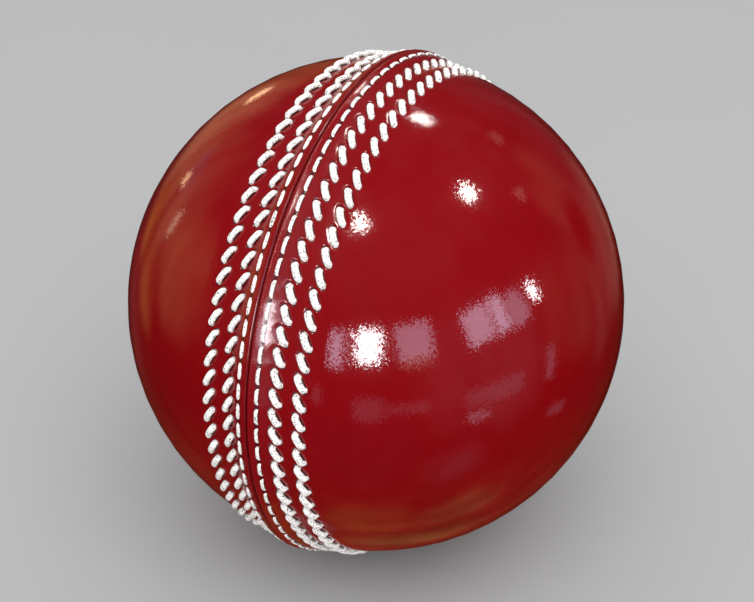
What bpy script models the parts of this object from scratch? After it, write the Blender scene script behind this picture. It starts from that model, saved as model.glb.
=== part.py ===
"""Cricket ball: a quilted centre of cork and wound wool in a sewn two-piece leather cover.

Units are metres, +Z is up. The origin is the centre of the ball. +X is the axis through the
crowns of the two leather halves, so the seam stands upright in the YZ plane.
"""

import math

import bpy

# Leather cover
BALL_RADIUS = 0.0360          # outside of the leather, away from the seam: 226 mm round
LEATHER_THICKNESS = 0.0032
RIDGE_HEIGHT = 0.00133        # the sewn lips stand this far above the leather at the joint
RIDGE_HALF_WIDTH = 0.0033     # from the joint line to where the lips run out
RIDGE_CREST = 1.25            # 1 is a straight flank, more rounds it towards the joint
RIDGE_FOOT = 1.1              # 1 is a sharp foot, more rounds it
JOINT_HALF_GAP = 0.00015      # each half stops this far short of the joint plane

# Rows of thread, by their distance from the joint plane
CLOSING_ROW_OFFSET = 0.00133
MIDDLE_ROW_OFFSET = 0.00352
OUTER_ROW_OFFSET = 0.00675
CLOSING_BAND_HALF_WIDTH = 0.00033
CLOSING_BAND_HALF_HEIGHT = 0.00033
SLANTED_BAND_HALF_WIDTH = 0.00090
SLANTED_BAND_HALF_HEIGHT = 0.00048
BAND_SHOULDER = 0.55          # flat of a band's section, as a share of its half width
THREAD_CLEARANCE = 0.0003     # between a band of stitches and the channel it lies in

# Quilted centre
NUCLEUS_RADIUS = 0.0150
QUILT_RADIUS = 0.0323
QUILT_LAYERS = 5              # each is a wrap of cork and a winding of wool
LAYER_GAP = 0.0003
WRAP_OPENING = 0.0020         # radius of the opening left at one crown of each wrap

# Roundness of the solids
COVER_STEPS = 40              # around the seam
CENTRE_STEPS = 16             # around the quilted centre
CENTRE_ARC_STEPS = 8          # from crown to crown of the quilted centre
CROWN_ARC_STEPS = 9           # from the outer row up to the crown
LINING_ARC_STEPS = 8          # inside of a leather half, from crown to joint
MERGE_DISTANCE = 0.00005

# Side of the seam, as the turn about Y that lays a profile's +Z along it
RIGHT_SIDE = math.radians(90.0)
LEFT_SIDE = math.radians(-90.0)


def clear_scene():
    """Remove every object that the file starts with."""
    for old in list(bpy.data.objects):
        bpy.data.objects.remove(old, do_unlink=True)


def make_material(name, colour, roughness, metallic=0.0):
    """Return a Principled material with one colour."""
    material = bpy.data.materials.new(name)
    material.use_nodes = True
    shader = material.node_tree.nodes["Principled BSDF"]
    shader.inputs["Base Color"].default_value = (*colour, 1.0)
    shader.inputs["Roughness"].default_value = roughness
    shader.inputs["Metallic"].default_value = metallic
    return material


def turned_piece(name, profile, closed, steps, side, material, collection):
    """Turn a profile of (distance from the axis, height along it) into a solid round X.

    An open profile starts and ends on the axis. A closed one goes round without touching it.
    """
    count = len(profile)
    edges = [(i, i + 1) for i in range(count - 1)]
    if closed:
        edges.append((count - 1, 0))
    mesh = bpy.data.meshes.new(name)
    mesh.from_pydata([(radius, 0.0, height) for radius, height in profile], edges, [])
    piece = bpy.data.objects.new(name, mesh)
    collection.objects.link(piece)
    screw = piece.modifiers.new("turn", "SCREW")
    screw.axis = "Z"
    screw.angle = math.radians(360.0)
    screw.steps = steps
    screw.render_steps = steps
    screw.use_merge_vertices = True
    screw.merge_threshold = MERGE_DISTANCE
    screw.use_smooth_shade = True
    piece.rotation_euler = (0.0, side, 0.0)
    mesh.materials.append(material)
    return piece


def at(radius, height):
    """Return the profile point at a height along the axis and a distance from the centre."""
    return (math.sqrt(radius * radius - height * height), height)


def arc(radius, first, last, steps):
    """Return points on a circle round the centre, by their angle from the joint plane."""
    points = []
    for i in range(steps + 1):
        angle = first + (last - first) * i / steps
        points.append((radius * math.cos(angle), radius * math.sin(angle)))
    return points


def cover_radius(offset):
    """Return the leather's distance from the centre, at an offset from the joint plane."""
    if offset >= RIDGE_HALF_WIDTH:
        return BALL_RADIUS
    flank = 1.0 - (offset / RIDGE_HALF_WIDTH) ** RIDGE_CREST
    return BALL_RADIUS + RIDGE_HEIGHT * flank**RIDGE_FOOT


def channel(offset, half_width, half_height):
    """Return the four corners of a row's channel, from its far edge to its near one."""
    far = offset + half_width + THREAD_CLEARANCE
    near = offset - half_width - THREAD_CLEARANCE
    floor = cover_radius(offset) - half_height - THREAD_CLEARANCE
    return [
        at(cover_radius(far), far),
        at(floor, far),
        at(floor, near),
        at(cover_radius(near), near),
    ]


def leather_half_profile():
    """Return a leather half's section: outside, three channels, lip, joint face, lining."""
    first_channel = OUTER_ROW_OFFSET + SLANTED_BAND_HALF_WIDTH + THREAD_CLEARANCE
    start = math.asin(first_channel / BALL_RADIUS)
    crown = math.radians(90.0)
    points = arc(BALL_RADIUS, crown, start, CROWN_ARC_STEPS)[:-1]
    points += channel(OUTER_ROW_OFFSET, SLANTED_BAND_HALF_WIDTH, SLANTED_BAND_HALF_HEIGHT)
    points += channel(MIDDLE_ROW_OFFSET, SLANTED_BAND_HALF_WIDTH, SLANTED_BAND_HALF_HEIGHT)
    points += channel(CLOSING_ROW_OFFSET, CLOSING_BAND_HALF_WIDTH, CLOSING_BAND_HALF_HEIGHT)
    points.append(at(cover_radius(JOINT_HALF_GAP), JOINT_HALF_GAP))
    lining = BALL_RADIUS - LEATHER_THICKNESS
    points += arc(lining, math.asin(JOINT_HALF_GAP / lining), crown, LINING_ARC_STEPS)
    points[0] = (0.0, BALL_RADIUS)
    points[-1] = (0.0, lining)
    return points


def thread_band_profile(offset, half_width, half_height):
    """Return a row's section: a flattened hexagon on the leather, from its far end round."""
    middle = cover_radius(offset)
    flat = half_width * BAND_SHOULDER
    return [
        at(middle, offset + half_width),
        at(middle + half_height, offset + flat),
        at(middle + half_height, offset - flat),
        at(middle, offset - half_width),
        at(middle - half_height, offset - flat),
        at(middle - half_height, offset + flat),
    ]


def wrap_profile(inner, outer):
    """Return a wrap's section: its outside, a small opening at one crown, and its inside."""
    crown = math.radians(90.0)
    outside = arc(outer, crown, -crown, CENTRE_ARC_STEPS)
    inside = arc(inner, -crown, crown, CENTRE_ARC_STEPS)
    outside[0] = at_opening(outer)
    inside[-1] = at_opening(inner)
    outside[-1] = (0.0, -outer)
    inside[0] = (0.0, -inner)
    return inside + outside


def at_opening(radius):
    """Return the point where the opening cuts the first facet below a wrap's crown."""
    slope = math.tan(0.5 * math.radians(180.0) / CENTRE_ARC_STEPS)
    return (WRAP_OPENING, radius - WRAP_OPENING * slope)


def nucleus_profile():
    """Return the section of the solid ball at the middle."""
    crown = math.radians(90.0)
    points = arc(NUCLEUS_RADIUS, crown, -crown, CENTRE_ARC_STEPS)
    points[0] = (0.0, NUCLEUS_RADIUS)
    points[-1] = (0.0, -NUCLEUS_RADIUS)
    return points


def build_centre(collection):
    """Build the nucleus, then each wrap of cork under its winding of wool."""
    cork_rubber = make_material("cork_rubber", (0.115, 0.062, 0.035), 0.85)
    cork = make_material("cork", (0.42, 0.25, 0.13), 0.90)
    wool = make_material("wool_twine", (0.62, 0.55, 0.42), 0.95)
    turned_piece(
        "nucleus", nucleus_profile(), False, CENTRE_STEPS, RIGHT_SIDE, cork_rubber, collection
    )
    wraps = (("cork_wrap", cork, RIGHT_SIDE), ("wool_winding", wool, LEFT_SIDE))
    pitch = (QUILT_RADIUS - NUCLEUS_RADIUS) / (len(wraps) * QUILT_LAYERS)
    radius = NUCLEUS_RADIUS
    for layer in range(1, QUILT_LAYERS + 1):
        for kind, material, side in wraps:
            profile = wrap_profile(radius + LAYER_GAP, radius + pitch)
            name = f"{kind}_{layer}"
            turned_piece(name, profile, False, CENTRE_STEPS, side, material, collection)
            radius += pitch


def build_cover(collection):
    """Build the two leather halves, which share one section."""
    leather = make_material("red_leather", (0.29, 0.006, 0.010), 0.22)
    for name, side in (("left_leather_half", LEFT_SIDE), ("right_leather_half", RIGHT_SIDE)):
        turned_piece(name, leather_half_profile(), False, COVER_STEPS, side, leather, collection)


def build_thread(collection):
    """Build the six rows of thread, three on each side of the joint."""
    thread = make_material("white_thread", (0.93, 0.90, 0.86), 0.70)
    rows = (
        ("closing", CLOSING_ROW_OFFSET, CLOSING_BAND_HALF_WIDTH, CLOSING_BAND_HALF_HEIGHT),
        ("middle", MIDDLE_ROW_OFFSET, SLANTED_BAND_HALF_WIDTH, SLANTED_BAND_HALF_HEIGHT),
        ("outer", OUTER_ROW_OFFSET, SLANTED_BAND_HALF_WIDTH, SLANTED_BAND_HALF_HEIGHT),
    )
    for hand, side in (("left", LEFT_SIDE), ("right", RIGHT_SIDE)):
        for row, offset, half_width, half_height in rows:
            profile = thread_band_profile(offset, half_width, half_height)
            name = f"{hand}_{row}_thread"
            turned_piece(name, profile, True, COVER_STEPS, side, thread, collection)


def main():
    """Build the ball from the middle outwards."""
    clear_scene()
    collection = bpy.data.collections.new("cricket_ball")
    bpy.context.scene.collection.children.link(collection)
    build_centre(collection)
    build_cover(collection)
    build_thread(collection)


main()
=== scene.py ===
"""Looks of a cricket ball: leather halves, rows of stitches, a quilted centre and a studio."""

import logging
import math
from dataclasses import dataclass
from enum import Enum
from typing import Any, Union

import bpy
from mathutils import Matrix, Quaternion, Vector


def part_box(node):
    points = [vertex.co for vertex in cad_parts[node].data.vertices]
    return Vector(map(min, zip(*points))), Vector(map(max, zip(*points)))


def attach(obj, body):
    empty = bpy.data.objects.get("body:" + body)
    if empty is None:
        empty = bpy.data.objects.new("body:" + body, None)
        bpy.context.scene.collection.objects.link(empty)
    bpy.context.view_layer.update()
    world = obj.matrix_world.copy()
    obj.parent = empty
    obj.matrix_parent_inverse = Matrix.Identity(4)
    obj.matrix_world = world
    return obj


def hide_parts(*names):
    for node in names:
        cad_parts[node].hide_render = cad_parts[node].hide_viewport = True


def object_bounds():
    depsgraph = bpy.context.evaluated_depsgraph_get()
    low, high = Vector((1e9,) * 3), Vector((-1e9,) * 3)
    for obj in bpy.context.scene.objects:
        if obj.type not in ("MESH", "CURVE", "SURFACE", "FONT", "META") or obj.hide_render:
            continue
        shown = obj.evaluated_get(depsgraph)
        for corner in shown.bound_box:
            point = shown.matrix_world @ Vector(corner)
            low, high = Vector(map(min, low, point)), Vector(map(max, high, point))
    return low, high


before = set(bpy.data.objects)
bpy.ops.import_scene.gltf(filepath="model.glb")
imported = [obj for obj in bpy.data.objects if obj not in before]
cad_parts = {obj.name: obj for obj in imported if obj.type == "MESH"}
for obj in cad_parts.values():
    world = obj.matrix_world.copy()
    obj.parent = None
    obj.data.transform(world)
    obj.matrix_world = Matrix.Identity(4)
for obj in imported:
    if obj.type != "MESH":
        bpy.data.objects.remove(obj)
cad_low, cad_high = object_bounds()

log = logging.getLogger("cricket_ball")

ROOT = "root"
MM = 0.001


# ---------------------------------------------------------------------------------------------
# Rules written as nodes
# ---------------------------------------------------------------------------------------------


class Term:
    """A number or vector that a node puts out, with arithmetic that adds further nodes."""

    def __init__(self, graph: "Graph", socket: bpy.types.NodeSocket) -> None:
        """Hold one output socket.

        Args:
            graph: The graph that the socket belongs to.
            socket: The output socket.
        """
        self.graph = graph
        self.socket = socket

    def __add__(self, other: "Value") -> "Term":
        """Return the sum."""
        return self.graph.math("ADD", self, other)

    def __radd__(self, other: "Value") -> "Term":
        """Return the sum."""
        return self.graph.math("ADD", other, self)

    def __sub__(self, other: "Value") -> "Term":
        """Return the difference."""
        return self.graph.math("SUBTRACT", self, other)

    def __rsub__(self, other: "Value") -> "Term":
        """Return the difference, the other way round."""
        return self.graph.math("SUBTRACT", other, self)

    def __mul__(self, other: "Value") -> "Term":
        """Return the product."""
        return self.graph.math("MULTIPLY", self, other)

    def __rmul__(self, other: "Value") -> "Term":
        """Return the product."""
        return self.graph.math("MULTIPLY", other, self)

    def __truediv__(self, other: "Value") -> "Term":
        """Return the quotient."""
        return self.graph.math("DIVIDE", self, other)

    def __pow__(self, other: "Value") -> "Term":
        """Return the power."""
        return self.graph.math("POWER", self, other)


Value = Union[Term, bpy.types.NodeSocket, float, int, bool, str, tuple]


class Graph:
    """Adds nodes to one tree and joins them, so that a rule reads as arithmetic."""

    def __init__(self, tree: bpy.types.NodeTree) -> None:
        """Start on a tree.

        Args:
            tree: The geometry or shader tree to add nodes to.
        """
        self.tree = tree
        self.inlet: bpy.types.Node | None = None

    def feed(self, socket: bpy.types.NodeSocket, value: Any) -> None:
        """Link or set one input.

        Args:
            socket: The input socket.
            value: A term or socket to link, or a plain value to set.
        """
        if isinstance(value, Term):
            self.tree.links.new(value.socket, socket)
        elif isinstance(value, bpy.types.NodeSocket):
            self.tree.links.new(value, socket)
        elif socket.type == "RGBA":
            socket.default_value = (*value, 1.0)
        else:
            socket.default_value = value

    def add(self, kind: str, inputs: dict | None = None, **settings: Any) -> bpy.types.Node:
        """Add one node.

        Args:
            kind: The node's type name.
            inputs: Values by input name or index.
            settings: Properties of the node itself.

        Returns:
            The new node.
        """
        node = self.tree.nodes.new(kind)
        for name, setting in settings.items():
            setattr(node, name, setting)
        for key, value in (inputs or {}).items():
            self.feed(node.inputs[key], value)
        return node

    def term(self, node: bpy.types.Node, output: str | int = 0) -> Term:
        """Return a node's output as a term."""
        return Term(self, node.outputs[output])

    def result(self, kind: str, inputs: dict | None = None, **settings: Any) -> Term:
        """Add one node, as add does, and return its first output."""
        return self.term(self.add(kind, inputs, **settings))

    def math(self, operation: str, *values: Value) -> Term:
        """Add a Math node.

        Args:
            operation: The node's operation.
            values: Its operands in order.

        Returns:
            The result.
        """
        node = self.add("ShaderNodeMath", operation=operation)
        for index, value in enumerate(values):
            self.feed(node.inputs[index], value)
        return self.term(node)

    def smooth(self, value: Value, start: Value, end: Value) -> Term:
        """Return 0 before start, 1 after end and a smooth step between them."""
        inputs = {"Value": value, "From Min": start, "From Max": end}
        return self.result("ShaderNodeMapRange", inputs, interpolation_type="SMOOTHSTEP")

    def between(self, value: Value, start: Value, end: Value, low: Value, high: Value) -> Term:
        """Return a value moved in a straight line from one range to another, and held there."""
        inputs = {"Value": value, "From Min": start, "From Max": end, "To Min": low, "To Max": high}
        return self.result("ShaderNodeMapRange", inputs, clamp=True)

    def vector(self, x: Value, y: Value, z: Value) -> Term:
        """Return three numbers as a vector."""
        return self.result("ShaderNodeCombineXYZ", {0: x, 1: y, 2: z})

    def parts(self, vector: Value) -> tuple[Term, Term, Term]:
        """Return a vector's three numbers."""
        node = self.add("ShaderNodeSeparateXYZ", {0: vector})
        return self.term(node, 0), self.term(node, 1), self.term(node, 2)

    def combined(self, operation: str, first: Value, second: Value = (0.0, 0.0, 0.0)) -> Term:
        """Return what a Vector Math node makes of two vectors."""
        return self.result("ShaderNodeVectorMath", {0: first, 1: second}, operation=operation)

    def scaled(self, vector: Value, factor: Value) -> Term:
        """Return a vector or colour times a number."""
        inputs = {0: vector, "Scale": factor}
        return self.result("ShaderNodeVectorMath", inputs, operation="SCALE")

    def group_input(self, name: str, kind: str, start: Any = None) -> Term:
        """Add a named input to the tree.

        Args:
            name: The input's name.
            kind: The socket's type, such as Float or Material.
            start: Its default value.

        Returns:
            The input as a term.
        """
        socket = self.tree.interface.new_socket(
            name=name, in_out="INPUT", socket_type=f"NodeSocket{kind}"
        )
        if start is not None:
            socket.default_value = start
        if self.inlet is None:
            self.inlet = self.tree.nodes.new("NodeGroupInput")
        return self.term(self.inlet, name)

    def group_inputs(self, sizes: dict[str, Any]) -> list[Term]:
        """Add a named input to the tree for each size, with the size as its default value.

        Args:
            sizes: Values by the inputs' names.

        Returns:
            The inputs as terms, in the same order.
        """
        kinds = {bool: "Bool", int: "Int", float: "Float"}
        terms = []
        for name, size in sizes.items():
            if isinstance(size, bpy.types.Material):
                terms.append(self.group_input(name, "Material"))
            else:
                terms.append(self.group_input(name, kinds[type(size)], size))
        return terms

    def group_output(self, **outputs: tuple[str, Value]) -> None:
        """Add named outputs to the tree and join them.

        Args:
            outputs: The socket's type and the value, by name.
        """
        for name, (kind, _) in outputs.items():
            self.tree.interface.new_socket(
                name=name, in_out="OUTPUT", socket_type=f"NodeSocket{kind}"
            )
        outlet = self.tree.nodes.new("NodeGroupOutput")
        for name, (_, value) in outputs.items():
            self.feed(outlet.inputs[name], value)

    def strand(self, count: Value) -> tuple[Term, Term]:
        """Return a line of so many points, and each point's share of its length."""
        ends = {"Start": (0.0, 0.0, 0.0), "End": (1.0, 0.0, 0.0)}
        line = self.result("GeometryNodeCurvePrimitiveLine", ends)
        inputs = {"Curve": line, "Count": count}
        share = self.term(self.add("GeometryNodeSplineParameter"), "Factor")
        return self.result("GeometryNodeResampleCurve", inputs, mode="COUNT"), share

    def circle(self, sides: Value, radius: Value) -> Term:
        """Return a round outline of so many sides."""
        inputs = {"Resolution": sides, "Radius": radius}
        return self.result("GeometryNodeCurvePrimitiveCircle", inputs, mode="RADIUS")

    def swept(self, path: Term, outline: Term) -> Term:
        """Return an outline swept along a path, with its ends closed."""
        inputs = {"Curve": path, "Profile Curve": outline, "Fill Caps": True}
        return self.result("GeometryNodeCurveToMesh", inputs)

    def placed(self, geometry: Term, place: Term) -> Term:
        """Return geometry with its points moved to a place."""
        return self.result("GeometryNodeSetPosition", {"Geometry": geometry, "Position": place})

    def marked(self, geometry: Term, name: str, vector: Term) -> Term:
        """Return geometry whose points keep a vector under a name."""
        inputs = {"Geometry": geometry, "Name": name, "Value": vector}
        settings = {"data_type": "FLOAT_VECTOR", "domain": "POINT"}
        return self.result("GeometryNodeStoreNamedAttribute", inputs, **settings)

    def chosen(self, condition: Term, geometry: Term) -> Term:
        """Return geometry where a condition holds, and nothing where it doesn't."""
        inputs = {"Switch": condition, "True": geometry}
        return self.result("GeometryNodeSwitch", inputs, input_type="GEOMETRY")

    def joined(self, *surfaces: Term) -> Term:
        """Return surfaces as one geometry."""
        node = self.add("GeometryNodeJoinGeometry")
        for surface in surfaces:
            self.feed(node.inputs[0], surface)
        return self.term(node)

    def smoothed(self, geometry: Term) -> Term:
        """Return geometry with smooth shading."""
        return self.result("GeometryNodeSetShadeSmooth", {"Geometry": geometry})

    def finished(self, geometry: Term, material: Term) -> None:
        """End a geometry tree: its instances are made real and it gets its material."""
        real = self.result("GeometryNodeRealizeInstances", {"Geometry": geometry})
        inputs = {"Geometry": real, "Material": material}
        self.group_output(Geometry=("Geometry", self.result("GeometryNodeSetMaterial", inputs)))


def grow(name: str, tree: bpy.types.NodeTree, sizes: dict[str, Any]) -> bpy.types.Object:
    """Run a geometry tree and keep its result as a plain mesh.

    Args:
        name: Name of the finished piece.
        tree: The geometry tree.
        sizes: Values by the name of the tree's input.

    Returns:
        The piece, at the origin and with no modifier.
    """
    seed = bpy.data.objects.new(f"{name}_seed", bpy.data.meshes.new(f"{name}_seed"))
    bpy.context.scene.collection.objects.link(seed)
    modifier = seed.modifiers.new("shape", "NODES")
    modifier.node_group = tree
    for socket in tree.interface.items_tree:
        if socket.item_type == "SOCKET" and socket.in_out == "INPUT" and socket.name in sizes:
            modifier[socket.identifier] = sizes[socket.name]
    shaped = seed.evaluated_get(bpy.context.evaluated_depsgraph_get())
    mesh = bpy.data.meshes.new_from_object(shaped)
    mesh.name = name
    piece = bpy.data.objects.new(name, mesh)
    bpy.context.scene.collection.objects.link(piece)
    bpy.data.objects.remove(seed, do_unlink=True)
    return piece


# ---------------------------------------------------------------------------------------------
# Effects that several finishes share
# ---------------------------------------------------------------------------------------------


class Effects:
    """Shader groups, each built once and placed in materials with their own values."""

    @staticmethod
    def cached(name: str) -> tuple[bpy.types.NodeTree, Graph | None]:
        """Return a group by name, with a graph to fill it if it is new."""
        known = bpy.data.node_groups.get(name)
        if known is not None:
            return known, None
        tree = bpy.data.node_groups.new(name, "ShaderNodeTree")
        return tree, Graph(tree)

    @staticmethod
    def mottle() -> bpy.types.NodeTree:
        """Return the group for broad, cloudy changes of shade: Shade, around 1."""
        tree, graph = Effects.cached("mottle")
        if graph is None:
            return tree
        place = graph.group_input("Place", "Vector")
        size = graph.group_input("Size", "Float", 10 * MM)
        amount = graph.group_input("Amount", "Float", 0.1)
        inputs = {"Vector": place, "Scale": graph.math("DIVIDE", 1.0, size), "Detail": 3.0}
        clouds = graph.result("ShaderNodeTexNoise", inputs)
        graph.group_output(Shade=("Float", 1.0 + (clouds - 0.5) * 2.0 * amount))
        return tree

    @staticmethod
    def grain() -> bpy.types.NodeTree:
        """Return the group for pores and fine pebbles: Height and Pores, both 0 to 1."""
        tree, graph = Effects.cached("grain")
        if graph is None:
            return tree
        place = graph.group_input("Place", "Vector")
        size = graph.group_input("Size", "Float", 0.3 * MM)
        scale = graph.math("DIVIDE", 1.0, size)
        cells = {"Vector": place, "Scale": scale}
        pebble = graph.result("ShaderNodeTexVoronoi", cells, feature="SMOOTH_F1")
        finer = {"Vector": place, "Scale": scale * 1.3, "Detail": 1.0}
        height = graph.result("ShaderNodeTexNoise", finer) * 0.75 + (1.0 - pebble) * 0.25
        pores = graph.smooth(pebble, 0.55, 0.85)
        graph.group_output(Height=("Float", height), Pores=("Float", pores))
        return tree

    @staticmethod
    def facets() -> bpy.types.NodeTree:
        """Return the group for a hide's fine facets, each leaning its own way: Normal."""
        tree, graph = Effects.cached("facets")
        if graph is None:
            return tree
        place = graph.group_input("Place", "Vector")
        normal = graph.group_input("Normal", "Vector")
        size = graph.group_input("Size", "Float", 0.3 * MM)
        lean = graph.group_input("Lean", "Float", 0.04)
        inputs = {"Vector": place, "Scale": graph.math("DIVIDE", 1.0, size)}
        cells = graph.term(graph.add("ShaderNodeTexVoronoi", inputs), "Color")
        leaning = graph.scaled(graph.combined("SUBTRACT", cells, (0.5, 0.5, 0.5)), lean)
        unit = graph.combined("NORMALIZE", graph.combined("ADD", normal, leaning))
        graph.group_output(Normal=("Vector", unit))
        return tree

    @staticmethod
    def specks() -> bpy.types.NodeTree:
        """Return the group for scattered small specks: Mask, 0 to 1."""
        tree, graph = Effects.cached("specks")
        if graph is None:
            return tree
        place = graph.group_input("Place", "Vector")
        size = graph.group_input("Size", "Float", 0.2 * MM)
        share = graph.group_input("Share", "Float", 0.2)
        inputs = {"Vector": place, "Scale": graph.math("DIVIDE", 1.0, size), "Detail": 1.0}
        dots = graph.result("ShaderNodeTexNoise", inputs)
        edge = graph.between(share, 0.0, 1.0, 0.78, 0.30)
        graph.group_output(Mask=("Float", graph.smooth(dots, edge - 0.04, edge + 0.04)))
        return tree


class Finish:
    """Base of the finishes: starts a material and places shared effects in it."""

    name: str

    def start(self) -> tuple[bpy.types.Material, Graph, bpy.types.Node]:
        """Return a new material, a graph on its tree and its Principled shader."""
        material = bpy.data.materials.new(self.name)
        material.use_nodes = True
        return material, Graph(material.node_tree), material.node_tree.nodes["Principled BSDF"]

    def place(self, graph: Graph) -> bpy.types.NodeSocket:
        """Return the object coordinates."""
        return graph.add("ShaderNodeTexCoord").outputs["Object"]

    def effect(self, graph: Graph, tree: bpy.types.NodeTree, **inputs: Value) -> bpy.types.Node:
        """Place a shared effect.

        Args:
            graph: The material's graph.
            tree: The effect's group.
            inputs: Its values by name.

        Returns:
            The group's node.
        """
        node = graph.add("ShaderNodeGroup", node_tree=tree)
        for key, value in inputs.items():
            graph.feed(node.inputs[key], value)
        return node

    def tint(self, graph: Graph, colour: Value, shade: Value) -> Term:
        """Return a colour made lighter or darker by a number around 1."""
        return graph.scaled(colour, shade)

    def blend(self, graph: Graph, amount: Value, first: Value, second: Value) -> Term:
        """Return a colour between two, by an amount from 0 to 1."""
        node = graph.add("ShaderNodeMix", {0: amount, 6: first, 7: second}, data_type="RGBA")
        return graph.term(node, 2)

    def bump(self, graph: Graph, height: Value, depth: float, under: Value | None = None) -> Term:
        """Return a normal that follows a height.

        Args:
            graph: The material's graph.
            height: The height, 0 to 1.
            depth: What a height of 1 stands for, in metres.
            under: A normal to build on.

        Returns:
            The normal.
        """
        node = graph.add("ShaderNodeBump", {"Height": height, "Distance": depth, "Strength": 1.0})
        if under is not None:
            graph.feed(node.inputs["Normal"], under)
        return graph.term(node)


@dataclass(frozen=True)
class PolishedLeather(Finish):
    """Dyed leather under wax, rubbed to a gloss, with painted shade at stitches, holes and joint.
    """

    name: str = "polished_red_leather"
    colour: tuple = (0.190, 0.0013, 0.0032)
    # Painted shade colour: stands in for the shade round the stitches, in the needle holes and in
    # the joint groove.
    painted_shade_colour: tuple = (0.016, 0.0010, 0.0010)
    matt_reach: tuple = (6.5, 9.0)
    matt_roughness: float = 0.07
    lip_reach: tuple = (2.4, 3.4)
    lip_roughness: float = 0.03
    nick_offset: tuple = (0.22, 0.34, 0.62)
    nicks_around: int = 560
    nick_depth: float = 0.020 * MM
    facet_size: float = 0.18 * MM
    facet_lean: float = 0.040
    grain_size: float = 0.27 * MM
    grain_depth: float = 0.005 * MM
    cloud_size: float = 9.0 * MM
    cloud_amount: float = 0.07
    # How much painted shade the grain's pores get.
    pore_painted_shade: float = 0.05
    roughness: float = 0.075
    pore_roughness: float = 0.03
    crease_roughness: float = 0.12

    def build(self) -> bpy.types.Material:
        """Return the material."""
        material, graph, shader = self.start()
        place = self.place(graph)
        clouds = self.effect(
            graph, Effects.mottle(), Place=place, Size=self.cloud_size, Amount=self.cloud_amount
        )
        grain = self.effect(graph, Effects.grain(), Place=place, Size=self.grain_size)
        pores = graph.term(grain, "Pores")
        seam = graph.add("ShaderNodeAttribute", attribute_name="seam")
        # The seam attribute holds the painted shade mask and the distance from the joint in
        # millimetres.
        painted_shade_mask, offset, _ = graph.parts(seam.outputs["Vector"])
        matt = 1.0 - graph.smooth(offset, *self.matt_reach)
        on_lip = 1.0 - graph.smooth(offset, *self.lip_reach)
        # The clouds are random tone. The pores add painted shade, darker in the grain's crevices.
        dyed = self.tint(graph, self.colour, graph.term(clouds) * (1.0 - pores * self.pore_painted_shade))
        # Painted shade: the leather is blended towards the painted shade colour by the painted
        # shade mask.
        colour = self.blend(graph, painted_shade_mask, dyed, self.painted_shade_colour)
        graph.feed(shader.inputs["Base Color"], colour)
        rubbed = self.roughness + pores * self.pore_roughness + matt * self.matt_roughness
        rubbed = rubbed + on_lip * self.lip_roughness + painted_shade_mask * self.crease_roughness
        graph.feed(shader.inputs["Roughness"], rubbed)
        first, middle, last = self.nick_offset
        lip = graph.smooth(offset, first, middle) * (1.0 - graph.smooth(offset, middle, last))
        _, along, up = graph.parts(place)
        nicks = lip * graph.math("SINE", graph.math("ARCTAN2", up, along) * self.nicks_around)
        facets = self.effect(
            graph,
            Effects.facets(),
            Place=place,
            Normal=graph.add("ShaderNodeNewGeometry").outputs["Normal"],
            Size=self.facet_size,
            Lean=self.facet_lean,
        )
        normal = self.bump(graph, nicks, self.nick_depth, under=graph.term(facets))
        normal = self.bump(graph, graph.term(grain, "Height"), self.grain_depth, under=normal)
        graph.feed(shader.inputs["Normal"], normal)
        return material


@dataclass(frozen=True)
class WaxedThread(Finish):
    """Twisted white thread: faint plies with painted shade in their grooves, fine fibre specks, a
    soft sheen.
    """

    name: str = "waxed_white_thread"
    colour: tuple = (0.96, 0.93, 0.90)
    speck_colour: tuple = (0.020, 0.018, 0.018)
    speck_size: float = 0.18 * MM
    speck_share: float = 0.34
    plies: float = 3.0
    turns: float = 5.0
    # Painted shade in the grooves between the plies.
    ply_groove_painted_shade: float = 0.07
    ply_depth: float = 0.035 * MM
    fibre_depth: float = 0.012 * MM
    roughness: float = 0.62
    sheen: float = 0.15

    def build(self) -> bpy.types.Material:
        """Return the material."""
        material, graph, shader = self.start()
        place = self.place(graph)
        specks = self.effect(
            graph, Effects.specks(), Place=place, Size=self.speck_size, Share=self.speck_share
        )
        mask = graph.term(specks)
        thread = graph.add("ShaderNodeAttribute", attribute_name="thread")
        across, up, along = graph.parts(thread.outputs["Vector"])
        round_angle = graph.math("ARCTAN2", up, across)
        twist = round_angle * self.plies + along * (self.turns * math.tau)
        ply = graph.math("ABSOLUTE", graph.math("SINE", twist * 0.5))
        colour = self.blend(graph, mask, self.colour, self.speck_colour)
        # Painted shade: the thread darkens towards the grooves between its plies, where the ply
        # bump is low.
        shade = (1.0 - self.ply_groove_painted_shade) + ply * self.ply_groove_painted_shade
        graph.feed(shader.inputs["Base Color"], self.tint(graph, colour, shade))
        normal = self.bump(graph, ply, self.ply_depth)
        normal = self.bump(graph, 1.0 - mask, self.fibre_depth, under=normal)
        graph.feed(shader.inputs["Normal"], normal)
        shader.inputs["Roughness"].default_value = self.roughness
        shader.inputs["Sheen Weight"].default_value = self.sheen
        return material


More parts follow.
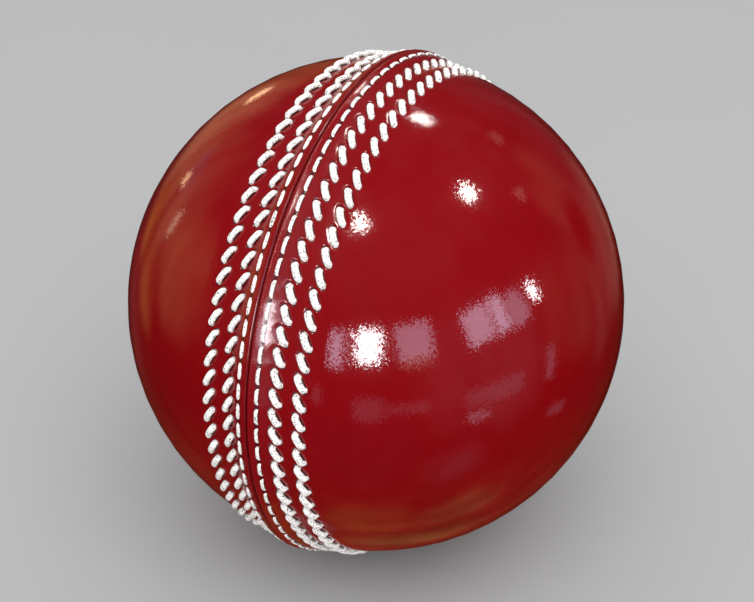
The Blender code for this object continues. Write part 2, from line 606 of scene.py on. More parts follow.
@dataclass(frozen=True)
class GranularCork(Finish):
    """Pressed cork: pale granules with painted shade in the gaps between them."""

    name: str = "granular_cork"
    colour: tuple = (0.46, 0.27, 0.13)
    # Painted shade colour of the gaps between granules.
    gap_painted_shade_colour: tuple = (0.13, 0.06, 0.03)
    granule_size: float = 1.6 * MM
    depth: float = 0.12 * MM
    cloud_size: float = 2.5 * MM
    cloud_amount: float = 0.22
    roughness: float = 0.82
    gap_roughness: float = 0.12

    def build(self) -> bpy.types.Material:
        """Return the material."""
        material, graph, shader = self.start()
        place = self.place(graph)
        grain = self.effect(graph, Effects.grain(), Place=place, Size=self.granule_size)
        clouds = self.effect(
            graph, Effects.mottle(), Place=place, Size=self.cloud_size, Amount=self.cloud_amount
        )
        tinted = self.tint(graph, self.colour, graph.term(clouds))
        pores = graph.term(grain, "Pores")
        # Painted shade: the gaps between granules take the gap colour.
        graph.feed(shader.inputs["Base Color"], self.blend(graph, pores, tinted, self.gap_painted_shade_colour))
        graph.feed(shader.inputs["Roughness"], self.roughness + pores * self.gap_roughness)
        height = graph.term(grain, "Height")
        graph.feed(shader.inputs["Normal"], self.bump(graph, height, self.depth))
        return material


@dataclass(frozen=True)
class WoundWool(Finish):
    """Undyed wool twine: hairy, uneven in shade."""

    name: str = "wound_wool_twine"
    colour: tuple = (0.62, 0.53, 0.38)
    hair_colour: tuple = (0.36, 0.29, 0.19)
    hair_size: float = 0.25 * MM
    hair_share: float = 0.5
    hair_strength: float = 0.6
    depth: float = 0.06 * MM
    cloud_size: float = 4.0 * MM
    cloud_amount: float = 0.18
    roughness: float = 0.94
    sheen: float = 0.3

    def build(self) -> bpy.types.Material:
        """Return the material."""
        material, graph, shader = self.start()
        place = self.place(graph)
        hairs = self.effect(
            graph, Effects.specks(), Place=place, Size=self.hair_size, Share=self.hair_share
        )
        clouds = self.effect(
            graph, Effects.mottle(), Place=place, Size=self.cloud_size, Amount=self.cloud_amount
        )
        mask = graph.term(hairs)
        tinted = self.tint(graph, self.colour, graph.term(clouds))
        colour = self.blend(graph, mask * self.hair_strength, tinted, self.hair_colour)
        graph.feed(shader.inputs["Base Color"], colour)
        graph.feed(shader.inputs["Normal"], self.bump(graph, 1.0 - mask, self.depth))
        shader.inputs["Roughness"].default_value = self.roughness
        shader.inputs["Sheen Weight"].default_value = self.sheen
        return material


@dataclass(frozen=True)
class MouldedCorkRubber(Finish):
    """Cork crumb bound in dark rubber."""

    name: str = "moulded_cork_rubber"
    colour: tuple = (0.060, 0.034, 0.022)
    crumb_colour: tuple = (0.36, 0.19, 0.09)
    crumb_size: float = 1.1 * MM
    crumb_share: float = 0.55
    grain_size: float = 0.4 * MM
    depth: float = 0.05 * MM
    roughness: float = 0.62
    crumb_roughness: float = 0.25

    def build(self) -> bpy.types.Material:
        """Return the material."""
        material, graph, shader = self.start()
        place = self.place(graph)
        crumbs = self.effect(
            graph, Effects.specks(), Place=place, Size=self.crumb_size, Share=self.crumb_share
        )
        grain = self.effect(graph, Effects.grain(), Place=place, Size=self.grain_size)
        mask = graph.term(crumbs)
        colour = self.blend(graph, mask, self.colour, self.crumb_colour)
        graph.feed(shader.inputs["Base Color"], colour)
        graph.feed(shader.inputs["Roughness"], self.roughness + mask * self.crumb_roughness)
        height = graph.term(grain, "Height") + mask
        graph.feed(shader.inputs["Normal"], self.bump(graph, height, self.depth))
        return material


@dataclass(frozen=True)
class PaleFloor(Finish):
    """Plain pale paper."""

    name: str = "pale_floor"
    colour: tuple = (0.382, 0.382, 0.386)
    cloud_size: float = 60 * MM
    cloud_amount: float = 0.015
    roughness: float = 0.9
    specular: float = 0.1

    def build(self) -> bpy.types.Material:
        """Return the material."""
        material, graph, shader = self.start()
        place = self.place(graph)
        clouds = self.effect(
            graph, Effects.mottle(), Place=place, Size=self.cloud_size, Amount=self.cloud_amount
        )
        graph.feed(shader.inputs["Base Color"], self.tint(graph, self.colour, graph.term(clouds)))
        shader.inputs["Roughness"].default_value = self.roughness
        shader.inputs["Specular IOR Level"].default_value = self.specular
        return material


# ---------------------------------------------------------------------------------------------
# The ball
# ---------------------------------------------------------------------------------------------


class Side(Enum):
    """Side of the seam, as the sign of X."""

    LEFT = -1.0
    RIGHT = 1.0

    @property
    def word(self) -> str:
        """Name of the side as nodes spell it."""
        return self.name.lower()


@dataclass(frozen=True)
class Seam:
    """What the leather and the thread share: the ball's radius, the ridge and the stitch pitch."""

    radius: float
    ridge_height: float
    ridge_half_width: float = 3.3 * MM
    ridge_crest: float = 1.35
    ridge_foot: float = 1.12
    stitches: int = 80
    phase: float = math.radians(0.14)

    @classmethod
    def from_frame(cls) -> "Seam":
        """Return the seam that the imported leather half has."""
        low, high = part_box("right_leather_half")
        lip = 1.0 - (low.x / cls.ridge_half_width) ** cls.ridge_crest
        return cls(radius=high.x, ridge_height=(high.z - high.x) / lip**cls.ridge_foot)

    def surface(self, offset: float) -> float:
        """Return the leather's distance from the centre, at an offset from the joint."""
        if offset >= self.ridge_half_width:
            return self.radius
        flank = 1.0 - (offset / self.ridge_half_width) ** self.ridge_crest
        return self.radius + self.ridge_height * flank**self.ridge_foot


@dataclass(frozen=True)
class StitchShape:
    """One stitch of a row: where it lies, how it slants and how it dives into its holes."""

    offset: float
    half_length: float
    slant: float
    hook: float
    thread_radius: float
    flatness: float
    rise: float
    dive: float
    squareness: float
    wobble: float
    hole_radius: float
    hole_depth: float
    bed_depth: float
    # How strong the painted shade round this row's thread and holes is.
    painted_shade_strength: float

    @property
    def lean(self) -> float:
        """How far each end lies nearer to or farther from the seam than the middle."""
        return self.half_length * math.tan(self.slant)


def row_offset(node: str) -> float:
    """Return how far a row's band lies from the joint in the frame."""
    low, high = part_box(node)
    return abs(low.x + high.x) / 2


def row_shapes() -> dict[str, StitchShape]:
    """Return the three kinds of row by name, placed where the frame has them."""
    slanted = dict(
        half_length=0.96 * MM,
        slant=math.radians(28.0),
        hook=0.09 * MM,
        thread_radius=0.475 * MM,
        flatness=0.80,
        rise=0.29 * MM,
        dive=0.62 * MM,
        squareness=11.0,
        wobble=math.radians(1.5),
        hole_radius=0.44 * MM,
        hole_depth=0.36 * MM,
        bed_depth=0.08 * MM,
        painted_shade_strength=1.0,
    )
    closing = StitchShape(
        offset=row_offset("right_closing_thread"),
        half_length=1.27 * MM,
        slant=0.0,
        hook=0.0,
        thread_radius=0.27 * MM,
        flatness=0.55,
        rise=0.10 * MM,
        dive=0.38 * MM,
        squareness=5.0,
        wobble=math.radians(0.5),
        hole_radius=0.17 * MM,
        hole_depth=0.24 * MM,
        bed_depth=0.0,
        # Weaker painted shade in the gaps of the closing row.
        painted_shade_strength=0.6,
    )
    return {
        "closing": closing,
        "middle": StitchShape(offset=row_offset("right_middle_thread"), **slanted),
        "outer": StitchShape(offset=row_offset("right_outer_thread"), **slanted),
    }


@dataclass
class LeatherCover:
    """The two leather halves, with their lips, the beds of the stitches and the needle holes."""

    seam: Seam
    rows: dict[str, StitchShape]
    finish: PolishedLeather
    steps_per_stitch: int = 12
    band_angle: float = math.radians(15.0)
    band_rings: int = 64
    band_crowding: float = 1.5
    crown_rings: int = 14
    lip_face_rings: int = 2
    lining_rings: int = 8
    centre_gap: float = 0.3 * MM
    groove_width: float = 0.34 * MM
    groove_depth: float = 0.36 * MM
    # How dark the painted shade in the joint groove is.
    groove_painted_shade: float = 0.8
    joint_gap: float = 0.02 * MM
    pucker: float = 0.012 * MM
    pucker_reach: tuple = (0.6 * MM, 1.9 * MM)
    bed_reach: tuple = (0.6, 2.0)
    # Reach of the painted shade outline round the thread, in thread radii.
    painted_outline_reach: tuple = (0.80, 1.15)
    hole_inset: float = 0.35
    # Reach of the painted shade in the needle holes, in hole radii.
    hole_painted_shade_reach: tuple = (0.40, 0.95)
    merge_distance: float = 0.001 * MM

    def build(self) -> list[bpy.types.Object]:
        """Return both halves, dressed and riding on the ball."""
        material = self.finish.build()
        tree = self.tree(self.sizes(Side.LEFT, material))
        halves = []
        for side in Side:
            half = grow(f"{side.word}_leather", tree, self.sizes(side, material))
            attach(half, ROOT)
            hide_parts(f"{side.word}_leather_half")
            halves.append(half)
        return halves

    def sizes(self, side: Side, material: bpy.types.Material) -> dict[str, Any]:
        """Return the values of the tree's inputs for one half."""
        return {
            "Side": side.value,
            "Radius": self.seam.radius,
            "Ridge height": self.seam.ridge_height,
            "Ridge half width": self.seam.ridge_half_width,
            "Ridge crest": self.seam.ridge_crest,
            "Ridge foot": self.seam.ridge_foot,
            "Lining radius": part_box("wool_winding_5")[1].z + self.centre_gap,
            "Band angle": self.band_angle,
            "Groove width": self.groove_width,
            "Groove depth": self.groove_depth,
            "Joint gap": self.joint_gap,
            "Stitches": self.seam.stitches,
            "Phase": self.seam.phase,
            "Pucker": self.pucker,
            "Material": material,
        }

    def tree(self, sizes: dict[str, Any]) -> bpy.types.NodeTree:
        """Return the geometry tree of one half: band, crown, lip and lining, joined into a solid.

        Args:
            sizes: The values that its inputs start with.
        """
        tree = bpy.data.node_groups.new("leather_half", "GeometryNodeTree")
        graph = Graph(tree)
        (side, radius, ridge_height, ridge_width, crest, foot, lining, band, groove_width,
         groove_depth, gap, stitches, phase, pucker, material) = graph.group_inputs(sizes)

        around_steps = stitches * self.steps_per_stitch + 1

        def ring_grid(rings: int) -> tuple[Term, Term, Term]:
            """Return a flat grid with its two coordinates: around and across, 0 to 1."""
            inputs = {"Vertices X": around_steps, "Vertices Y": rings + 1}
            grid = graph.result("GeometryNodeMeshGrid", {**inputs, "Size X": 1.0, "Size Y": 1.0})
            across, up, _ = graph.parts(graph.result("GeometryNodeInputPosition"))
            return grid, across + 0.5, up + 0.5

        def wrapped(grid: Term, around: Term, latitude: Term, distance: Term) -> Term:
            """Lay a grid round the X axis."""
            angle = around * math.tau
            level = distance * graph.math("COSINE", latitude)
            place = graph.vector(
                side * distance * graph.math("SINE", latitude),
                level * graph.math("COSINE", angle),
                level * graph.math("SINE", angle),
            )
            return graph.placed(grid, place)

        def relief(around: Term, latitude: Term) -> tuple[Term, Term]:
            """Return the leather's height over the sphere, and its seam marks.

            The marks are the painted shade mask (painted shade in the joint groove, round the
            thread and in the needle holes) and the distance from the joint in millimetres.
            """
            offset = radius * graph.math("SINE", latitude)
            flank = graph.math("MAXIMUM", 1.0 - (offset / ridge_width) ** crest, 0.0)
            lip = graph.math("MAXIMUM", 1.0 - offset / groove_width, 0.0)
            height = ridge_height * flank**foot - groove_depth * lip * lip
            # Painted shade in the joint groove, darkest at the joint.
            painted_shade_mask = lip * lip * self.groove_painted_shade
            turn = (around * math.tau - phase) * stitches / math.tau
            pitch_length = radius * math.tau / stitches * graph.math("COSINE", latitude)
            for shape in self.rows.values():
                dent, painted_shade_mark = self.imprint(graph, shape, turn, offset, pitch_length, pucker)
                height = height - dent
                # Each row adds painted shade round its thread and in its needle holes.
                painted_shade_mask = graph.math("MAXIMUM", painted_shade_mask, painted_shade_mark)
            return height, graph.vector(painted_shade_mask, offset / MM, 0.0)

        grid, around, across = ring_grid(self.band_rings)
        start = graph.math("ARCSINE", gap / radius)
        latitude = start + (band - start) * across**self.band_crowding
        height, marks = relief(around, latitude)
        marked = graph.marked(grid, "seam", marks)
        outside = wrapped(marked, around, latitude, radius + height)

        grid, around, across = ring_grid(self.crown_rings)
        latitude = band + (math.pi / 2 - band) * across
        plain = graph.marked(grid, "seam", graph.vector(0.0, radius / MM, 0.0))
        crown = wrapped(plain, around, latitude, radius)

        grid, around, across = ring_grid(self.lip_face_rings)
        latitude = graph.math("ARCSINE", gap / (lining + (radius - lining) * across))
        edge_height, _ = relief(around, start)
        edge = lining + (radius + edge_height - lining) * across
        lip_face = wrapped(grid, around, latitude, edge)

        grid, around, across = ring_grid(self.lining_rings)
        first = graph.math("ARCSINE", gap / lining)
        latitude = math.pi / 2 + (first - math.pi / 2) * across
        inside = wrapped(grid, around, latitude, lining)

        solid = graph.joined(outside, crown, lip_face, inside)
        inputs = {"Geometry": solid, "Distance": self.merge_distance}
        merged = graph.result("GeometryNodeMergeByDistance", inputs)
        mirrored = graph.math("LESS_THAN", side, 0.0)
        turned = graph.result("GeometryNodeFlipFaces", {"Mesh": merged, "Selection": mirrored})
        graph.finished(graph.smoothed(turned), material)
        return tree

    def imprint(
        self, graph: Graph, shape: StitchShape, turn: Term, offset: Term, pitch: Term, pucker: Term
    ) -> tuple[Term, Term]:
        """Return how deep one row sinks the leather, and the painted shade it puts round its thread
        and holes.

        Args:
            graph: The tree's graph.
            shape: The row's stitch.
            turn: Place around the seam, counted in stitches.
            offset: Distance from the joint plane.
            pitch: Length of one stitch's share of the seam here.
            pucker: How far the leather swells between the stitches.

        Returns:
            The depth in metres and a painted shade mask from 0 to 1.
        """

        def cell(shift: Value) -> Term:
            """Return the distance along the seam to the nearest stitch, less a shift."""
            moved = turn - graph.math("DIVIDE", shift, pitch)
            return (moved - graph.math("ROUND", moved)) * pitch

        def length(along: Term, across: Term) -> Term:
            """Return the length of a step along and across the seam."""
            return graph.math("SQRT", along * along + across * across)

        def within(distance: Term, reach: tuple, size: float) -> Term:
            """Return 1 near a place, falling to 0 over a reach given in shares of a size."""
            return 1.0 - graph.smooth(distance, reach[0] * size, reach[1] * size)

        lean, upright = math.sin(shape.slant), math.cos(shape.slant)
        seamward = offset - shape.offset
        along = cell(0.0)
        down = along * upright + seamward * lean
        across = seamward * upright - along * lean
        beyond = graph.math("MAXIMUM", graph.math("ABSOLUTE", down) - shape.half_length, 0.0)
        distance = length(beyond, across)
        depth = within(distance, self.bed_reach, shape.thread_radius) * shape.bed_depth
        # Painted shade in a thin outline round the thread.
        mask = within(distance, self.painted_outline_reach, shape.thread_radius)

        hole_shift = shape.half_length + shape.thread_radius * self.hole_inset
        for end in (-1.0, 1.0) if shape.slant else (1.0,):
            reach = end * hole_shift if shape.slant else pitch * 0.5
            sideways = end * hole_shift * math.tan(shape.slant)
            distance = length(cell(reach), seamward - sideways)
            depth = depth + within(distance, (0.0, 1.0), shape.hole_radius) * shape.hole_depth
            # Painted shade in the needle hole.
            hole_painted_shade = within(distance, self.hole_painted_shade_reach, shape.hole_radius)
            mask = graph.math("MAXIMUM", mask, hole_painted_shade)

        row_reach = within(graph.math("ABSOLUTE", seamward), self.pucker_reach, 1.0)
        wave = graph.math("COSINE", turn * math.tau + math.pi)
        return depth - wave * row_reach * pucker, mask * shape.painted_shade_strength


@dataclass
class StitchRow:
    """One row of stitches on one side of the seam."""

    seam: Seam
    shape: StitchShape
    side: Side
    kind: str
    sides: int = 10
    rings: int = 11
    seed: int = 7
    hook_balance: float = 0.4
    taper: float = 0.25
    taper_squareness: float = 8.0

    def build(self, material: bpy.types.Material) -> bpy.types.Object:
        """Return the row, dressed and riding on the ball.

        Args:
            material: The thread's finish.
        """
        shape = self.shape
        sizes = {
            "Side": self.side.value,
            "Stitches": self.seam.stitches,
            "Phase": self.seam.phase,
            "Surface": self.seam.surface(shape.offset),
            "Offset": shape.offset,
            "Half length": shape.half_length,
            "Lean": shape.lean,
            "Hook": shape.hook,
            "Thread radius": shape.thread_radius,
            "Flatness": shape.flatness,
            "Rise": shape.rise,
            "Dive": shape.dive,
            "Squareness": shape.squareness,
            "Wobble": shape.wobble,
            "Rings": self.rings,
            "Sides": self.sides,
            "Seed": self.seed,
            "Material": material,
        }
        tree = bpy.data.node_groups.get("stitch_row") or self.tree(sizes)
        row = grow(f"{self.side.word}_{self.kind}_stitches", tree, sizes)
        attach(row, ROOT)
        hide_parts(f"{self.side.word}_{self.kind}_thread")
        return row

    def tree(self, sizes: dict[str, Any]) -> bpy.types.NodeTree:
        """Return the geometry tree that bends one stitch and repeats it round the seam.

        Args:
            sizes: The values that its inputs start with.
        """
        tree = bpy.data.node_groups.new("stitch_row", "GeometryNodeTree")
        graph = Graph(tree)
        (side, stitches, phase, surface, offset, half_length, lean, hook, thread_radius, flatness,
         rise, dive, squareness, wobble, rings, sides, seed, material) = graph.group_inputs(sizes)

        path, share = graph.strand(rings)
        reach = graph.math("SINE", (share - 0.5) * math.pi)
        drop = graph.math("ABSOLUTE", reach) ** squareness
        level = surface + rise - (rise + dive) * drop
        sideways = offset + lean * reach + side * hook * (reach * reach - self.hook_balance)
        outward = graph.math("SQRT", level * level - sideways * sideways)
        turn = half_length * reach / surface
        place = graph.vector(
            side * sideways,
            outward * graph.math("COSINE", turn),
            outward * graph.math("SINE", turn),
        )
        kept = graph.add("GeometryNodeCaptureAttribute", {"Geometry": graph.placed(path, place)})
        kept.capture_items.new("FLOAT", "Along")
        graph.feed(kept.inputs[1], share)
        taper = 1.0 - graph.math("ABSOLUTE", reach) ** self.taper_squareness * self.taper
        thick = graph.result(
            "GeometryNodeSetCurveRadius", {"Curve": graph.term(kept), "Radius": taper}
        )
        outline = {
            "Geometry": graph.circle(sides, thread_radius),
            "Scale": graph.vector(1.0, flatness, 1.0),
        }
        flat = graph.result("GeometryNodeTransform", outline)
        ring = graph.add("GeometryNodeCaptureAttribute", {"Geometry": flat})
        ring.capture_items.new("VECTOR", "Round")
        graph.feed(ring.inputs[1], graph.result("GeometryNodeInputPosition"))
        across, up, _ = graph.parts(graph.scaled(graph.term(ring, 1), 1 / MM))
        marks = graph.vector(across, up, graph.term(kept, 1))
        stitch = graph.marked(graph.swept(thick, graph.term(ring)), "thread", marks)

        points = graph.result("GeometryNodePoints", {"Count": stitches})
        station = phase + graph.result("GeometryNodeInputIndex") * math.tau / stitches
        limits = {2: wobble * -1.0, 3: wobble, "Seed": seed}
        spread = graph.add("FunctionNodeRandomValue", limits, data_type="FLOAT")
        upward = graph.math("SQRT", surface * surface - offset * offset)

        def rotation(axis: Value, angle: Term) -> Term:
            """Return a turn about an axis."""
            return graph.result("FunctionNodeAxisAngleToRotation", {"Axis": axis, "Angle": angle})

        wobbled = rotation(graph.vector(side * offset, upward, 0.0), graph.term(spread, 1))
        turned = graph.result(
            "FunctionNodeRotateRotation",
            {0: wobbled, 1: rotation((1.0, 0.0, 0.0), station)},
            rotation_space="GLOBAL",
        )
        inputs = {"Points": points, "Instance": graph.smoothed(stitch), "Rotation": turned}
        graph.finished(graph.result("GeometryNodeInstanceOnPoints", inputs), material)
        return tree


@dataclass(frozen=True)
class Wrap:
    """What one kind of layer in the centre is made of, and how rough its outside is."""

    slot: str
    material: bpy.types.Material
    relief_depth: float
    relief_size: float
    wound: bool = False


@dataclass
class QuiltedCentre:
    """The nucleus and the wraps round it, which the leather hides."""

    layers: int = 5
    layer_gap: float = 0.3 * MM
    shell_subdivisions: int = 6
    lining_subdivisions: int = 5
    relief_edge: tuple = (0.25, 0.95)
    twine_radius: float = 0.42 * MM
    twine_turns: int = 90
    twine_sides: int = 5
    steps_per_turn: int = 40
    turn_of_plane: float = 0.47
    first_tilt: float = 0.15
    shell_sink: float = 1.6
    twine_sink: float = 1.4
    twine_weave: float = 0.4
    weave_rate: float = 3.7

    def build(self) -> list[bpy.types.Object]:
        """Return the nucleus and its wraps, from the middle outwards."""
        cork = Wrap("cork", GranularCork().build(), 0.22 * MM, 2.6 * MM)
        wool = Wrap("wool_twine", WoundWool().build(), 0.05 * MM, 3.0 * MM, wound=True)
        rubber = Wrap("cork_rubber", MouldedCorkRubber().build(), 0.10 * MM, 2.2 * MM)
        pieces = [self.layer("nucleus", 0.0, rubber)]
        inside = "nucleus"
        for number in range(1, self.layers + 1):
            for node, kind in ((f"cork_wrap_{number}", cork), (f"wool_winding_{number}", wool)):
                pieces.append(self.layer(node, self.reach(inside) + self.layer_gap, kind))
                inside = node
        return pieces

    @staticmethod
    def reach(node: str) -> float:
        """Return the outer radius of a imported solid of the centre."""
        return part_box(node)[1].z

    def layer(self, node: str, inner: float, kind: Wrap) -> bpy.types.Object:
        """Return one layer, dressed and riding on the ball.

        Args:
            node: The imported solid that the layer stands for.
            inner: The radius of its hollow, or 0 for a solid ball.
            kind: What it is made of.
        """
        sizes = {
            "Outer radius": self.reach(node),
            "Inner radius": inner,
            "Hollow": inner > 0.0,
            "Wound": kind.wound,
            "Relief depth": kind.relief_depth,
            "Relief size": kind.relief_size,
            "Twine radius": self.twine_radius,
            "Turns": self.twine_turns,
            "Material": kind.material,
        }
        tree = bpy.data.node_groups.get("centre_layer") or self.tree(sizes)
        piece = grow(f"{node}_layer", tree, sizes)
        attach(piece, ROOT)
        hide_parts(node)
        return piece

    def tree(self, sizes: dict[str, Any]) -> bpy.types.NodeTree:
        """Return the geometry tree of one layer: a rough shell, its lining and its twine.

        Args:
            sizes: The values that its inputs start with.
        """
        tree = bpy.data.node_groups.new("centre_layer", "GeometryNodeTree")
        graph = Graph(tree)
        (outer, inner, hollow, wound, relief_depth, relief_size, twine_radius, turns,
         material) = graph.group_inputs(sizes)

        def ball(radius: Term, subdivisions: int) -> Term:
            """Return a ball of even triangles."""
            inputs = {"Radius": radius, "Subdivisions": subdivisions}
            return graph.result("GeometryNodeMeshIcoSphere", inputs)

        place = graph.result("GeometryNodeInputPosition")
        cells = {"Vector": place, "Scale": graph.math("DIVIDE", 1.0, relief_size)}
        sunk = graph.smooth(graph.result("ShaderNodeTexVoronoi", cells), *self.relief_edge)
        rough = graph.scaled(place, 1.0 - sunk * relief_depth / outer)
        under = outer - wound * twine_radius * self.shell_sink
        shell = graph.placed(ball(under, self.shell_subdivisions), rough)
        lining = graph.result(
            "GeometryNodeFlipFaces", {"Mesh": ball(inner, self.lining_subdivisions)}
        )
        twine = self.twine(graph, outer, twine_radius, turns)
        joined = graph.joined(shell, graph.chosen(hollow, lining), graph.chosen(wound, twine))
        graph.finished(graph.smoothed(joined), material)
        return tree

    def twine(self, graph: Graph, outer: Term, radius: Term, turns: Term) -> Term:
        """Return one length of twine, wound round and round as its plane turns and tips.

        Args:
            graph: The tree's graph.
            outer: The winding's outer radius.
            radius: The twine's own radius.
            turns: How often it goes round.
        """
        path, share = graph.strand(turns * self.steps_per_turn + 1)
        along = share * turns * math.tau
        plane = share * turns * self.turn_of_plane
        tilt = (share * (1.0 - self.first_tilt) + self.first_tilt) * (math.pi / 2)
        near, far = graph.math("COSINE", along), graph.math("SINE", along)
        level = far * graph.math("COSINE", tilt)
        cosine, sine = graph.math("COSINE", plane), graph.math("SINE", plane)
        weave = graph.math("SINE", along * self.weave_rate) * self.twine_weave
        distance = outer - radius * (self.twine_sink + weave)
        route = graph.vector(
            distance * (near * cosine - level * sine),
            distance * (near * sine + level * cosine),
            distance * far * graph.math("SINE", tilt),
        )
        return graph.swept(graph.placed(path, route), graph.circle(self.twine_sides, radius))


# ---------------------------------------------------------------------------------------------
# Studio
# ---------------------------------------------------------------------------------------------


class Shows(Enum):
    """What a lamp lights: the gloss alone, the matt shade alone."""

    GLOSS = "gloss"
    SHADE = "shade"


@dataclass(frozen=True)
class Softbox:
    """One lamp, by the direction that it shines from and the angle that it fills, in degrees."""

    name: str
    azimuth: float
    elevation: float
    wide: float
    high: float
    brightness: float
    colour: tuple = (1.0, 1.0, 1.0)
    roll: float = 0.0
    round: bool = False
    shows: Shows = Shows.GLOSS


@dataclass(frozen=True)
class Glow:
    """A soft patch of the surround that only the gloss shows, by its direction and spread."""

    azimuth: float
    elevation: float
    spread: float
    colour: tuple


DAYLIGHT = (0.95, 0.92, 1.22)
LAMPLIGHT = (1.0, 0.97, 0.90)
EMBER = (1.0, 0.66, 0.36)
BLUSH = (1.0, 0.62, 0.58)


def towards(azimuth: float, elevation: float) -> Vector:
    """Return the direction of an azimuth and an elevation in degrees, where 0, 0 is -Y."""
    turn, lift = math.radians(azimuth), math.radians(elevation)
    return Vector(
        (math.sin(turn) * math.cos(lift), -math.cos(turn) * math.cos(lift), math.sin(lift))
    )


@dataclass
class Studio:
    """Floor, lamps, surrounding light and camera."""

    lowest: float
    lamp_distance: float = 0.9
    floor_size: float = 12.0
    camera_azimuth: float = 26.95
    camera_elevation: float = 30.88
    camera_distance: float = 0.2501
    lens: float = 81.5
    sensor: float = 36.0
    shift: tuple = (0.0013, 0.0025)
    surround: float = 1.02
    ceiling: tuple = (0.095, 0.100, 0.120)
    wall: tuple = (0.050, 0.045, 0.050)
    ground: tuple = (0.018, 0.012, 0.006)
    wall_edge: tuple = (-0.45, 0.10)
    ceiling_edge: tuple = (0.45, 0.75)
    streaks: tuple = (7.0, 7.0, 1.4)
    streak_noise: tuple = (0.35, 0.65)
    streak_shade: tuple = (0.55, 1.45)
    glows: tuple = (
        Glow(0.0, -90.0, 60.0, (0.34, 0.050, 0.025)),
        Glow(-146.0, 3.0, 22.0, (0.36, 0.17, 0.07)),
        Glow(-122.0, 4.0, 22.0, (0.70, 0.34, 0.18)),
        Glow(-98.0, 5.0, 21.0, (0.52, 0.27, 0.14)),
        Glow(-74.0, 3.0, 24.0, (0.70, 0.36, 0.16)),
        Glow(-100.0, 19.0, 18.0, (0.50, 0.28, 0.17)),
        Glow(-118.0, -26.0, 15.0, (0.10, 0.030, 0.028)),
        Glow(-115.0, -10.0, 10.0, (0.42, 0.17, 0.045)),
        Glow(-99.0, -15.0, 12.0, (0.42, 0.18, 0.060)),
        Glow(-109.0, 10.0, 8.0, (0.52, 0.36, 0.36)),
        Glow(148.0, -8.0, 24.0, (0.20, 0.12, 0.10)),
        Glow(20.0, -36.0, 30.0, (0.10, 0.045, 0.070)),
        Glow(68.0, -48.0, 13.0, (0.16, 0.13, 0.17)),
        Glow(75.0, -4.0, 40.0, (0.20, 0.17, 0.20)),
        Glow(124.0, -2.0, 24.0, (0.22, 0.15, 0.11)),
        Glow(20.0, -84.0, 16.0, (0.52, 0.17, 0.05)),
        Glow(116.0, -70.0, 13.0, (0.34, 0.22, 0.08)),
        Glow(-172.0, -70.0, 13.0, (0.26, 0.14, 0.045)),
        Glow(-94.0, -74.0, 8.0, (0.30, 0.22, 0.20)),
        Glow(150.0, 18.0, 17.0, (0.24, 0.16, 0.11)),
        Glow(169.0, -13.0, 15.0, (0.26, 0.145, 0.11)),
        Glow(149.5, 3.0, 12.0, (0.035, 0.012, 0.014)),
    )
    boxes: tuple = (
        Softbox("key", 34.0, 51.0, 60.0, 60.0, 2.25, shows=Shows.SHADE, round=True),
        Softbox("fill", 30.0, 6.0, 60.0, 24.0, 0.75, shows=Shows.SHADE),
        Softbox("window_edge", 11.4, 10.0, 4.4, 15.0, 6.0, DAYLIGHT),
        Softbox("window_open", 23.8, 12.2, 10.4, 14.0, 34.0, (1.0, 1.0, 1.04)),
        Softbox("window_pane", 43.6, 13.6, 15.2, 15.0, 3.2, DAYLIGHT, 4.0),
        Softbox("window_pane_foot", 44.0, 5.0, 13.0, 5.0, 1.3, (1.0, 0.80, 0.72), 4.0),
        Softbox("far_window_left", 73.0, 13.0, 12.6, 15.0, 4.5, DAYLIGHT, 8.0),
        Softbox("far_window_bar", 84.0, 13.4, 5.8, 15.6, 5.8, DAYLIGHT, 10.0),
        Softbox("far_window_right", 93.0, 11.5, 9.0, 13.5, 2.4, DAYLIGHT, 14.0),
        Softbox("low_shelf", 3.0, -11.0, 6.0, 7.0, 0.42, DAYLIGHT),
        Softbox("sill", 23.6, -16.2, 11.2, 10.0, 0.46, DAYLIGHT),
        Softbox("sill_right", 39.9, -16.2, 18.6, 4.4, 0.40, DAYLIGHT),
        Softbox("far_sill", 78.0, -16.3, 26.0, 7.5, 0.46, DAYLIGHT),
        Softbox("far_sill_edge", 71.2, -25.0, 8.5, 3.2, 1.5, DAYLIGHT),
        Softbox("side_streak", 106.0, -15.0, 3.6, 11.0, 0.75, DAYLIGHT),
        Softbox("side_glint", 116.0, -34.0, 8.0, 3.0, 0.35, DAYLIGHT),
        Softbox("lamp_behind", -177.6, 54.4, 7.4, 5.2, 36.0, LAMPLIGHT, round=True),
        Softbox("lamp_front", 13.1, 64.6, 6.6, 6.6, 90.0, LAMPLIGHT, round=True),
        Softbox("lamp_right", 116.6, 54.4, 6.0, 6.0, 80.0, LAMPLIGHT, round=True),
        Softbox("lamp_low_right", 103.8, 12.8, 3.6, 8.2, 38.0, (1.0, 0.94, 0.98), 12.0, True),
        Softbox("lamp_far", 134.8, 33.4, 4.2, 3.8, 1.7, BLUSH, round=True),
        Softbox("lamp_far_high", 162.6, 34.5, 4.6, 5.2, 0.85, BLUSH, round=True),
        Softbox("ember_top", -134.0, 6.0, 6.0, 4.0, 3.8, EMBER, 20.0, True),
        Softbox("ember_side", -108.0, 6.6, 3.4, 3.6, 5.0, EMBER, 0.0, True),
        Softbox("pale_side", -94.0, 5.0, 3.6, 9.5, 2.0, (1.0, 0.80, 0.55), 0.0, True),
    )

    def build(self) -> None:
        """Build everything that isn't the ball."""
        self.floor()
        self.world()
        for box in self.boxes:
            self.lamp(box)
        self.camera()
        bpy.context.scene.view_settings.view_transform = "Standard"

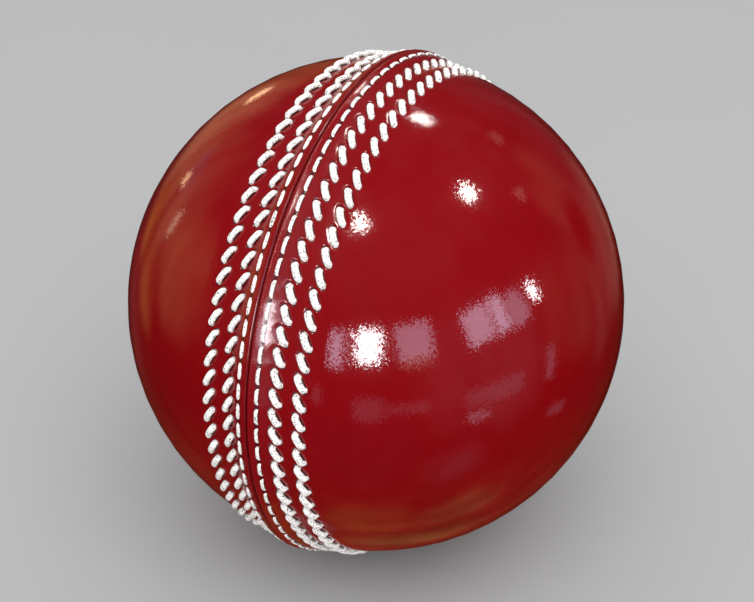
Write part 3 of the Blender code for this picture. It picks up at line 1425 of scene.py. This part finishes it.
    def floor(self) -> bpy.types.Object:
        """Return the floor, just under the ball."""
        half = self.floor_size / 2
        mesh = bpy.data.meshes.new("floor")
        corners = [(-half, -half), (half, -half), (half, half), (-half, half)]
        mesh.from_pydata([(x, y, self.lowest) for x, y in corners], [], [(0, 1, 2, 3)])
        mesh.materials.append(PaleFloor().build())
        floor = bpy.data.objects.new("floor", mesh)
        bpy.context.scene.collection.objects.link(floor)
        floor.visible_glossy = False
        return floor

    def world(self) -> None:
        """Light the scene evenly, with a dim room in the gloss: ceiling, walls, ground, glows."""
        world = bpy.data.worlds.new("studio")
        bpy.context.scene.world = world
        world.use_nodes = True
        graph = Graph(world.node_tree)
        finish = Finish()
        direction = graph.add("ShaderNodeTexCoord").outputs["Generated"]
        _, _, up = graph.parts(direction)
        room = finish.blend(graph, graph.smooth(up, *self.wall_edge), self.ground, self.wall)
        room = finish.blend(graph, graph.smooth(up, *self.ceiling_edge), room, self.ceiling)
        for glow in self.glows:
            middle = tuple(towards(glow.azimuth, glow.elevation))
            dot = {0: direction, 1: middle}
            facing = graph.add("ShaderNodeVectorMath", dot, operation="DOT_PRODUCT")
            edge = math.cos(math.radians(glow.spread))
            patch = graph.smooth(graph.term(facing, "Value"), edge, 1.0)
            room = finish.blend(graph, patch, room, glow.colour)
        stretched = graph.combined("MULTIPLY", direction, self.streaks)
        noise = graph.result("ShaderNodeTexNoise", {"Vector": stretched, "Scale": 1.0})
        streaks = graph.between(noise, *self.streak_noise, *self.streak_shade)
        room = finish.tint(graph, room, streaks)
        rays = graph.add("ShaderNodeLightPath")
        seen = finish.blend(graph, rays.outputs["Is Glossy Ray"], (self.surround,) * 3, room)
        seen = finish.blend(graph, rays.outputs["Is Camera Ray"], seen, PaleFloor.colour)
        graph.feed(world.node_tree.nodes["Background"].inputs["Color"], seen)

    def lamp(self, box: Softbox) -> bpy.types.Object:
        """Return one lamp, facing the ball's centre.

        Args:
            box: The lamp's place, size and brightness.
        """
        light = bpy.data.lights.new(box.name, "AREA")
        light.shape = "ELLIPSE" if box.round else "RECTANGLE"
        light.size = 2 * self.lamp_distance * math.tan(math.radians(box.wide) / 2)
        light.size_y = 2 * self.lamp_distance * math.tan(math.radians(box.high) / 2)
        area = light.size * light.size_y * (math.pi / 4 if box.round else 1.0)
        light.energy = box.brightness * area * math.pi
        light.color = box.colour
        lamp = bpy.data.objects.new(box.name, light)
        bpy.context.scene.collection.objects.link(lamp)
        direction = towards(box.azimuth, box.elevation)
        lamp.location = direction * self.lamp_distance
        lamp.rotation_mode = "QUATERNION"
        roll = Quaternion((0.0, 0.0, 1.0), math.radians(box.roll))
        lamp.rotation_quaternion = direction.to_track_quat("Z", "Y") @ roll
        lamp.visible_glossy = box.shows is Shows.GLOSS
        lamp.visible_diffuse = box.shows is Shows.SHADE
        return lamp

    def camera(self) -> bpy.types.Object:
        """Return the scene's camera."""
        data = bpy.data.cameras.new("camera")
        data.lens = self.lens
        data.sensor_width = self.sensor
        data.shift_x, data.shift_y = self.shift
        data.clip_start = 0.01
        camera = bpy.data.objects.new("camera", data)
        bpy.context.scene.collection.objects.link(camera)
        back = towards(self.camera_azimuth, self.camera_elevation)
        camera.location = back * self.camera_distance
        camera.rotation_mode = "QUATERNION"
        camera.rotation_quaternion = back.to_track_quat("Z", "Y")
        bpy.context.scene.camera = camera
        return camera


def main() -> None:
    """Build the studio, then the ball from its cover to its centre."""
    logging.basicConfig(level=logging.INFO, format="%(name)s: %(message)s")
    Studio(lowest=cad_low.z).build()
    seam = Seam.from_frame()
    rows = row_shapes()
    for half in LeatherCover(seam, rows, PolishedLeather()).build():
        log.info("%s: %d faces", half.name, len(half.data.polygons))
    thread = WaxedThread().build()
    for side in Side:
        for number, (kind, shape) in enumerate(rows.items()):
            row = StitchRow(seam, shape, side, kind, seed=number + 1).build(thread)
            log.info("%s: %d faces", row.name, len(row.data.polygons))
    for piece in QuiltedCentre().build():
        log.info("%s: %d faces", piece.name, len(piece.data.polygons))


if __name__ == "__main__":
    main()
